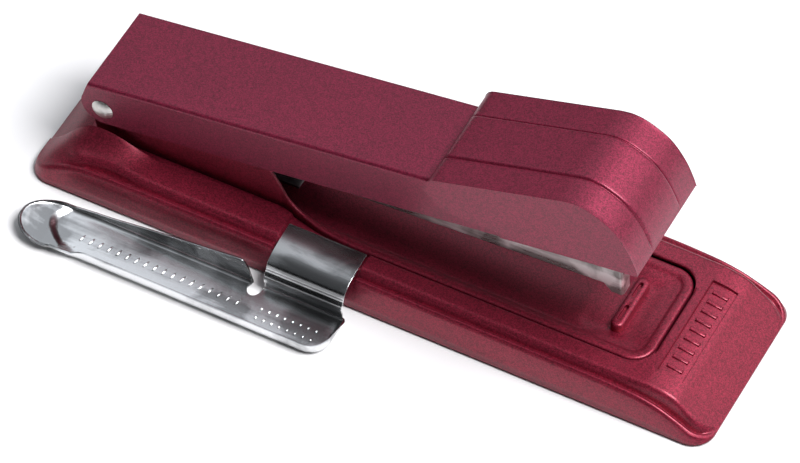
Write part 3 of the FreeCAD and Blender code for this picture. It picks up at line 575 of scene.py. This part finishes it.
def base_frame():
    """Recessed tray with a rounded rim that flares up into the two ears."""
    insets = [share for share, below in RIM_SHAPE] + [1.05, 1.12, 1.22, 1.35]
    corner = [FRAME_FRONT - FRAME_CORNER + FRAME_CORNER * math.sin(math.radians(a)) for a in range(0, 91, 7)]
    front_rows = [FRAME_FRONT - share * RIM_WIDTH for share in insets]
    stations = joined_stations(
        [FRAME_REAR], span_list(-80, EAR_JOIN - 0.05, 4.0), span_list(EAR_JOIN, -10, 0.4),
        span_list(-10, 49, 3.0), span_list(49, 69, 0.8), corner, front_rows)
    rows = []
    for x in stations:
        half = frame_half_width(min(x, FRAME_FRONT), 0.0)
        width = rim_width(x)
        ys = [half - share * width for share in insets]
        ys += [ys[-1] * share for share in (0.93, 0.86, 0.79, 0.72, 0.6, 0.4, 0.2)]
        row = [(x, -y, frame_surface(x, y)) for y in ys] + [(x, 0.0, frame_surface(x, 0.0))]
        row += [(x, y, frame_surface(x, y)) for y in reversed(ys)]
        rows.append([(row[0][0], row[0][1], FRAME_UNDER)] + row + [(row[-1][0], row[-1][1], FRAME_UNDER)])
    rows.insert(0, [(x, y, FRAME_UNDER) for x, y, z in rows[0]])
    rows.append([(x, y, FRAME_UNDER) for x, y, z in rows[-1]])
    tray = Builder()
    tray.grid(rows)
    tray.grid([[row[0] for row in rows], [row[-1] for row in rows]])
    crown = [
        (PIVOT_X + EAR_CROWN * math.cos(math.radians(a)), PIVOT_Z + EAR_CROWN * math.sin(math.radians(a)))
        for a in range(90, 236, 8)]
    ear_foot = FRAME_UNDER + 0.2
    ear = [(EAR_JOIN, ear_foot), (EAR_JOIN, rim_top(EAR_JOIN) - 0.55)] + crown + [(PIVOT_X - 2.2, ear_foot)]
    for side in (-1, 1):
        tray.prism([(x, side * FRAME_NARROW, z) for x, z in ear], (0, -side * EAR_SHEET, 0))
    obj = recalculated(tray.make("tray_frame", "base_paint", sharp=40.0))
    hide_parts("base_frame")
    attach(obj, "base")


def anvil():
    """Soft-edged painted clinching plate with two grooves."""
    low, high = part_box("anvil")
    centre_x, half = (low.x + high.x) / 2 / MM, (high.y - low.y) / 2 / MM
    radius, top, foot = (high.x - low.x) / 2 / MM, high.z / MM, FRAME_FLOOR - DISH
    form = Builder()
    rings = []
    levels = [(0.0, foot), (0.0, top - 0.95), (0.08, top - 0.6), (0.26, top - 0.32), (0.55, top - 0.12),
              (0.9, top - 0.03), (1.2, top)]
    for inset, z in levels:
        ring = []
        for a in range(0, 360, 10):
            side = half - radius if a < 180 else radius - half
            ring.append((centre_x + (radius - inset) * math.cos(math.radians(a)),
                         side + (radius - inset) * math.sin(math.radians(a)), z))
        rings.append(ring)
    form.grid(rings, closed=True)
    form.polygon(rings[-1])
    obj = recalculated(form.make("anvil_plate", "base_paint", sharp=50.0))
    tool = Builder()
    groove_half, groove_radius, groove_depth = 2.0, 0.6, 1.1
    for centre_y in (-4.0, 4.0):
        ring = []
        for a in range(0, 360, 20):
            end = centre_y + (groove_half if a < 180 else -groove_half)
            ring.append((centre_x + groove_radius * math.cos(math.radians(a)),
                         end + groove_radius * math.sin(math.radians(a)), top - groove_depth))
        tool.prism(ring, (0, 0, 3))
    carve(obj, recalculated(tool.make("anvil_grooves", "base_paint")))
    softened(obj, 0.12)
    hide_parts("anvil")
    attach(obj, "base")


# ---------------------------------------------------------------- cap
CAP_HALF, BAND_HALF, ARM_HALF = 16.1, 7.56, 13.6
CAP_REAR = [(12.9, 44.4), (13.15, 45.7), (13.5, 46.9), (14.1, 48.0), (15.0, 48.75), (15.9, 49.15)]
CAP_NOSE = [(50.0, 60.45), (53.6, 61.0), (57.8, 60.1), (63.2, 57.0), (67.2, 51.9), (69.6, 46.8), (70.6, 43.8)]
CAP_CHIN = (60.0, 42.2)
CAP_SWEEP = [(28.0, 39.4), (24.0, 39.3), (20.0, 39.9), (16.5, 41.1), (14.0, 42.8)]
CAP_COLUMNS = [         # Y of the cap's rows, close together at the band's groove
    CAP_HALF, 15.0, 13.0, 11.0, 9.3, 8.3, 7.95, 7.8, 7.68, BAND_HALF, 7.44, 7.3, 7.1, 6.8, 6.0, 4.0, 2.0]
CAP_HOLLOW = [
    (8.0, 44.35), (16.4, 45.75), (16.5, 46.7), (50.6, 57.8), (56.4, 57.6), (61.2, 55.0), (65.0, 50.6),
    (68.0, 44.0), (68.0, 30.0), (8.0, 30.0)]
CHEEK = [(25.0, 45.0), (33.0, 35.6), (67.0, 41.2), (68.5, 45.0)]


def curve_points(points, per_span):
    """Catmull-Rom line through plane points."""
    line = []
    padded = [points[0]] + list(points) + [points[-1]]
    for k in range(len(points) - 1):
        a, b, c, d = padded[k:k + 4]
        for step in range(per_span):
            t = step / per_span
            line.append(tuple(
                0.5 * (2 * q + (r - p) * t + (2 * p - 5 * q + 4 * r - s) * t * t
                       + (3 * q - p - 3 * r + s) * t ** 3)
                for p, q, r, s in zip(a, b, c, d)))
    return line + [points[-1]]


def straight(start, end, count):
    """Points between start and end, without either."""
    return [(start[0] + (end[0] - start[0]) * k / count, start[1] + (end[1] - start[1]) * k / count)
            for k in range(1, count)]


def cap_ring():
    """Side outline of the cap, clockwise from the low rear corner: its top and nose, then its lower edge."""
    top = CAP_REAR + straight(CAP_REAR[-1], CAP_NOSE[0], 14) + curve_points(CAP_NOSE, 6)
    low = straight(CAP_NOSE[-1], CAP_CHIN, 5) + [CAP_CHIN]
    low += straight(CAP_CHIN, CAP_SWEEP[0], 8) + curve_points(CAP_SWEEP, 3)
    return top, low


def band_rise(y, x, z):
    """Raised middle band with a fine groove along each side, fading out on the front face."""
    groove = math.exp(-((abs(y) - BAND_HALF) / 0.17) ** 2)
    raised = ease((BAND_HALF - 0.1 - abs(y)) / 0.5)
    fade = ease((z - 44.5) / 4.0) * ease((x - 13.6) / 1.2)
    return (0.28 * raised - 0.34 * groove) * fade


def cap():
    """Moulded cap, hollow above the arm, with a low cheek on each side of the arm."""
    top, low = cap_ring()
    ring = top + low
    rows = []
    for y in [-y for y in CAP_COLUMNS] + [0.0] + CAP_COLUMNS[::-1]:
        row = []
        for k, (x, z) in enumerate(ring):
            rise = band_rise(y, x, z) if k < len(top) else 0.0
            before, after = ring[k - 1], ring[(k + 1) % len(ring)]
            length = math.dist(before, after)
            outward = ((before[1] - after[1]) / length, (after[0] - before[0]) / length)
            row.append((x + outward[0] * rise, y, z + outward[1] * rise))
        rows.append(row)
    body = Builder()
    body.grid(rows, closed=True)
    body.polygon(rows[0])
    body.polygon(rows[-1][::-1])
    obj = recalculated(body.make("cap_moulding", "cap_paint", sharp=42.0))
    hollow = Builder()
    hollow.prism([(x, -ARM_HALF - 0.03, z) for x, z in CAP_HOLLOW], (0, 2 * ARM_HALF + 0.06, 0))
    carve(obj, recalculated(hollow.make("cap_hollow", "cap_paint")))
    softened(obj, 0.4, angle=48.0, segments=3)
    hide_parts("cap")
    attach(obj, "handle")
    cheeks = Builder()
    for y in (-ARM_HALF - 1.0, ARM_HALF + 0.05):
        cheeks.prism([(x, y, z) for x, z in CHEEK], (0, 0.95, 0))
    cheeks = softened(recalculated(cheeks.make("cap_cheeks", "cap_paint")), 0.25)
    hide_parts("cap")
    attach(cheeks, "handle")


# ---------------------------------------------------------------- staple remover
BLADE_NEAR, BLADE_FAR, BLADE_TIP, BLADE_END, BLADE_Z = -43.4, -29.8, -88.5, -1.6, 0.75
BLADE_FILLET, BLADE_CORNER, BLADE_GAUGE, CLIP_GAUGE = 1.2, 5.0, 0.45, 0.5
NOTCH_X, NOTCH_RADIUS = -26.2, 2.0
SPOON = -78.0           # where the rounded tip starts
END_RIM, SEAM_RIM, TIP_RIM = 2.9, 0.5, 0.5
CLIP_SECTION = [
    (-31.4, 0.5), (-30.3, 0.8), (-29.9, 1.9), (-30.3, 3.6), (-30.2, 5.2), (-29.35, 6.5), (-28.9, 7.6),
    (-28.0, 8.9), (-25.6, 10.15), (-21.0, 11.1), (-16.6, 11.5)]
blade_middle = smooth_through([(-88, -38.2), (-85, -38.1), (-81, -37.7), (SPOON, -37.25)])
lip_rise = smooth_through([(-87.6, 2.9), (-85, 1.9), (-80.5, 0.9)])
near_rim = smooth_through([(-87.5, 0.5), (-82, 0.9), (-72.5, 1.3), (-70.5, 2.3), (-68, 3.3), (-8, 2.9)])
far_rim = smooth_through([(-87.5, 0.5), (-82, 0.7), (-76, 1.2), (-68, 2.0), (-59, 3.4), (-30, 7.2)])


def blade_floor(x, y):
    """The lip of the spoon slopes down to a curved step, where the channel's level floor starts."""
    step = -82.3 + 0.12 * (y + 35.0) ** 2
    return BLADE_Z + lip_rise(x) * (1 - ease((x - step) / 2.6))


def blade_side(x, near):
    """Y of the near or far edge of the blade's flat floor, inside the turned-up rims."""
    if x < SPOON:
        t = (SPOON - x) / (SPOON - BLADE_TIP - BLADE_FILLET)
        half = 6.15 * max(1 - t ** 2.4, 0.0) ** 0.5
        return blade_middle(x) + (-half if near else half)
    if near:
        radius = BLADE_CORNER - BLADE_FILLET
        into_corner = max(x - (BLADE_END - BLADE_CORNER), 0.0)
        rounding = radius - math.sqrt(max(radius ** 2 - min(into_corner, radius) ** 2, 0.0))
        return BLADE_NEAR + BLADE_FILLET + rounding - 0.9 * ease((-69.5 - x) / 7)
    notch = math.sqrt(max(NOTCH_RADIUS ** 2 - (x - NOTCH_X) ** 2, 0.0))
    return BLADE_FAR - BLADE_FILLET - 0.2 * ease((-72 - x) / 6) - 1.4 * notch


def remover_rim(x, near):
    """Height of the turned-up rim; the far one ends in a rounded corner before the notch."""
    if near:
        return near_rim(x)
    if x > NOTCH_X - NOTCH_RADIUS - 0.2:
        return SEAM_RIM
    round_end = clamp((x + 31.2) / 2.9)
    return SEAM_RIM + (far_rim(x) - SEAM_RIM) * math.sqrt(max(1 - round_end ** 2, 0.0))


def in_notch(x, y):
    """Whether a point of the blade's edge lies on the round notch, which has no rim."""
    return abs(x - NOTCH_X) < NOTCH_RADIUS + 0.1 and y > BLADE_FAR - 7


def blade_stations():
    """X of the blade's rows, closer together at the tip, the notch and the rounded end."""
    reach = SPOON - BLADE_TIP - BLADE_FILLET
    tip = [SPOON - reach * math.sin(math.radians(a)) for a in range(86, -1, -4)]
    end = [BLADE_END - BLADE_CORNER + (BLADE_CORNER - BLADE_FILLET) * math.sin(math.radians(a))
           for a in range(0, 91, 9)]
    notch = [NOTCH_X + NOTCH_RADIUS * math.sin(math.radians(a)) for a in range(-90, 91, 15)]
    return joined_stations(
        tip, span_list(-83.6, -76, 0.4), span_list(SPOON, -33, 2.0),
        span_list(-33, NOTCH_X - NOTCH_RADIUS - 0.12, 0.4), notch, span_list(-24.0, -7, 2.0), end)


def blade():
    """Floor grid, then rings that turn up into the rims all round."""
    columns = 16
    rows, rims = [], []
    for x in blade_stations():
        near, far = blade_side(x, True), blade_side(x, False)
        row = []
        for c in range(columns + 1):
            y = near + (far - near) * c / columns
            row.append((x, y, blade_floor(x, y)))
        rows.append(row)
        rims.append((remover_rim(x, True), remover_rim(x, False)))
    last_row = rows[-1]
    border = [row[0] for row in rows] + last_row[1:-1] + [row[-1] for row in reversed(rows)]
    heights = [near for near, far in rims]
    heights += [END_RIM - 2.3 * c / columns for c in range(1, columns)]
    heights += [far for near, far in reversed(rims)]
    tip_columns = rows[0][1:-1]
    border += list(reversed(tip_columns))
    heights += [TIP_RIM] * len(tip_columns)
    count = len(border)
    rings = [border]
    levels = [        # (distance outwards, share of the first millimetre up, share of the height above it)
        (0.55, 0.06, 0.0), (0.9, 0.32, 0.0), (1.13, 0.72, 0.0), (BLADE_FILLET, 1.0, 0.25),
        (BLADE_FILLET, 1.0, 1.0)]
    for out, up, share in levels:
        ring = []
        for k, (x, y, z) in enumerate(border):
            before, after = border[k - 2], border[(k + 2) % count]
            run, rise = after[0] - before[0], after[1] - before[1]
            length = max(math.hypot(run, rise), 1e-6)
            flat = in_notch(x, y)
            lift = 0.0 if flat else up * min(heights[k], 1.0) + share * max(heights[k] - 1.0, 0.0)
            move = out * (0.05 if flat else 1.0) / length
            ring.append((x + rise * move, y - run * move, z + lift))
        rings.append(ring)
    sheet = Builder()
    sheet.grid(rows)
    sheet.grid(rings, closed=True)
    obj = recalculated(merged(sheet.make("remover_blade", "remover_chrome", sharp=60.0)))
    softened(thickened(obj, BLADE_GAUGE, 1.0 if points_down(obj) else -1.0), 0.12)
    return obj


def clip():
    """Spring arm that rises from the blade, bulges twice and lies on the shell."""
    line = curve_points(CLIP_SECTION, 6)
    low, high = CLIP_X
    rows = []
    for x in joined_stations([low, low + 0.15], span_list(low + 0.3, high - 0.3, 1.4), [high - 0.15, high]):
        rows.append([(x, y, z) for y, z in line])
    sheet = Builder()
    sheet.grid(rows)
    obj = sheet.make("remover_clip", "remover_chrome", sharp=60.0)
    softened(thickened(obj, CLIP_GAUGE, 1.0 if points_down(obj) else -1.0), 0.12)
    return obj


def stamped_ribs():
    """Generic grip marks pressed into the blade's floor."""
    marks = Builder()
    places = [(-72.0 + 2.6 * k, -37.2, 2.8) for k in range(18)]
    places += [(-21.5 + 2.2 * k, y, 1.5) for k in range(8) for y in (-39.4, -36.4)]
    slant = math.radians(75)
    c, s = math.cos(slant), math.sin(slant)
    for x, y, length in places:
        rings = []
        for share, lift in ((1.0, -0.1), (0.85, 0.12), (0.55, 0.24), (0.15, 0.3)):
            ring = []
            for a in range(0, 360, 30):
                u = math.cos(math.radians(a)) * length / 2 * share
                v = math.sin(math.radians(a)) * 0.34 * share
                px, py = x + u * c - v * s, y + u * s + v * c
                ring.append((px, py, blade_floor(px, py) + lift))
            rings.append(ring)
        marks.grid(rings, closed=True)
        marks.polygon(rings[-1])
    return recalculated(marks.make("remover_marks", "remover_chrome", sharp=80.0))


def staple_remover():
    """Blade, clip and grip marks, which come off together."""
    for obj in (blade(), clip(), stamped_ribs()):
        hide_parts("staple_remover")
        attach(obj, "remover")


# ---------------------------------------------------------------- springs
MAGAZINE_TILT = math.radians(4.16)
COIL_START, COIL_END, COIL_HEIGHT, COIL_RADIUS, COIL_WIRE, COIL_TURNS = -57.75, -9.3, 18.4, 1.75, 0.25, 20


def tilted(x, y, z):
    """Point of the level magazine turned about the pivot to its rest angle."""
    run, rise = x - PIVOT_X, z - PIVOT_Z
    c, s = math.cos(MAGAZINE_TILT), math.sin(MAGAZINE_TILT)
    return (PIVOT_X + run * c - rise * s, y, PIVOT_Z + run * s + rise * c)


def pusher_coil():
    """Compression spring on the guide rod, built at one length; the real one closes up as the pusher slides
    back.
    """
    steps, sides = COIL_TURNS * 18, 7
    rows = []
    for k in range(steps + 1):
        turn = math.tau * COIL_TURNS * k / steps
        x = COIL_START + (COIL_END - COIL_START) * k / steps
        row = []
        for side in range(sides):
            a = math.tau * side / sides
            radius = COIL_RADIUS + COIL_WIRE * math.cos(a)
            row.append(tilted(x + COIL_WIRE * math.sin(a), radius * math.cos(turn),
                              COIL_HEIGHT + radius * math.sin(turn)))
        rows.append(row)
    wire = Builder()
    wire.grid(rows, closed=True)
    wire.polygon(rows[0])
    wire.polygon(rows[-1][::-1])
    obj = recalculated(wire.make("pusher_coil", "spring_steel", sharp=70.0))
    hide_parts("pusher_spring")
    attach(obj, "magazine")
    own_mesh(obj)


def lift_leaf():
    """Leaf under the magazine, drawn low enough to clear it when the stapler is pressed shut."""
    half = 4.5
    line = curve_points([(-28.0, 9.8), (-37.0, 9.8), (-44.0, 10.7), (-54.0, 13.0), (-59.7, 14.1)], 6)
    rows = [[(x, y, z) for y in (-half, -half / 2, 0.0, half / 2, half)] for x, z in line]
    leaf = Builder()
    leaf.grid(rows)
    obj = leaf.make("lift_leaf", "spring_steel", sharp=60.0)
    softened(thickened(obj, 0.6, -1.0 if points_down(obj) else 1.0), 0.1)
    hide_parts("lift_spring")
    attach(obj, "base")


base_shell()
plaque_bars()
base_frame()
anvil()
cap()
staple_remover()
pusher_coil()
lift_leaf()


# ---------------------------------------------------------------- floor, light, camera
def floor():
    """Pale paper sheet on the table plane."""
    m = Nodes("floor_paper")
    m.shade(Base_Color=m.ramp(m.noise(6.0, 3.0), [(0.2, (0.82, 0.82, 0.82)), (0.8, (0.86, 0.86, 0.86))]))
    m.shade(Roughness=0.9)
    half = 4.0
    corners = [(-half, -half, 0), (half, -half, 0), (half, half, 0), (-half, half, 0)]
    mesh = bpy.data.meshes.new("floor")
    mesh.from_pydata(corners, [], [(0, 1, 2, 3)])
    mesh.materials.append(m.material)
    plane = bpy.data.objects.new("floor", mesh)
    bpy.context.scene.collection.objects.link(plane)


def area_light(name, place, aim, size, power, colour=(1, 1, 1)):
    """Rectangular lamp at a place, turned towards a point."""
    data = bpy.data.lights.new(name, "AREA")
    data.shape = "RECTANGLE"
    data.size, data.size_y = size
    data.energy = power
    data.color = colour
    lamp = bpy.data.objects.new(name, data)
    lamp.location = place
    lamp.rotation_euler = (Vector(aim) - Vector(place)).to_track_quat("-Z", "Y").to_euler()
    bpy.context.scene.collection.objects.link(lamp)


def lights():
    """World bright overhead and behind, a large key light high on the nose side, a faint side light."""
    world = bpy.data.worlds.new("studio")
    bpy.context.scene.world = world
    world.use_nodes = True
    tree = world.node_tree
    background = tree.nodes["Background"]
    direction = tree.nodes.new("ShaderNodeTexCoord").outputs["Generated"]
    parts = tree.nodes.new("ShaderNodeSeparateXYZ")
    tree.links.new(direction, parts.inputs[0])
    ramps = []          # one per axis; stops are (place along the axis, grey)
    for axis, stops in (("Z", [(0.0, 0.03), (0.38, 0.10), (0.64, 0.85), (1.0, 0.65)]),
                        ("Y", [(0.0, 0.04), (0.42, 0.14), (0.75, 0.85), (1.0, 0.9)])):
        spread = tree.nodes.new("ShaderNodeMapRange")
        spread.inputs["From Min"].default_value = 0.0 if axis == "Z" else -1.0
        tree.links.new(parts.outputs[axis], spread.inputs["Value"])
        ramp = tree.nodes.new("ShaderNodeValToRGB")
        tree.links.new(spread.outputs["Result"], ramp.inputs["Fac"])
        while len(ramp.color_ramp.elements) < len(stops):
            ramp.color_ramp.elements.new(0.5)
        for element, (place, grey) in zip(ramp.color_ramp.elements, stops):
            element.position = place
            element.color = (grey * 0.95, grey * 0.97, grey, 1)
        ramps.append(ramp.outputs["Color"])
    product = tree.nodes.new("ShaderNodeMix")
    product.data_type, product.blend_type = "RGBA", "MULTIPLY"
    product.inputs[0].default_value = 1.0
    tree.links.new(ramps[0], product.inputs[6])
    tree.links.new(ramps[1], product.inputs[7])
    tree.links.new(product.outputs[2], background.inputs["Color"])
    background.inputs["Strength"].default_value = 1.5
    area_light("key", (0.70, 0.02, 1.22), (0, 0, 0), (0.72, 0.72), 29.0, (0.99, 0.98, 1.0))
    area_light("side", (0.88, 0.60, 0.40), (0.04, 0, 0.02), (0.5, 0.5), 0.8)


def camera():
    """Photograph's viewing angle, from a distance with a long lens."""
    azimuth, elevation, roll = math.radians(27.618), math.radians(50.424), math.radians(0.05)
    back = Vector((math.sin(azimuth) * math.cos(elevation), -math.cos(azimuth) * math.cos(elevation),
                   math.sin(elevation)))
    right = Vector((math.cos(azimuth), math.sin(azimuth), 0))
    up = back.cross(right)
    turned_right = right * math.cos(roll) + up * math.sin(roll)
    turned_up = back.cross(turned_right)
    data = bpy.data.cameras.new("camera")
    data.sensor_width = 36.0
    data.lens = 262.26
    data.clip_start, data.clip_end = 0.05, 20
    obj = bpy.data.objects.new("camera", data)
    obj.matrix_world = Matrix((turned_right, turned_up, back)).transposed().to_4x4()
    obj.location = Vector((427.90, -821.56, 1124.67)) * MM
    bpy.context.scene.collection.objects.link(obj)
    bpy.context.scene.camera = obj


floor()
lights()
camera()
bpy.context.scene.view_settings.view_transform = "Standard"
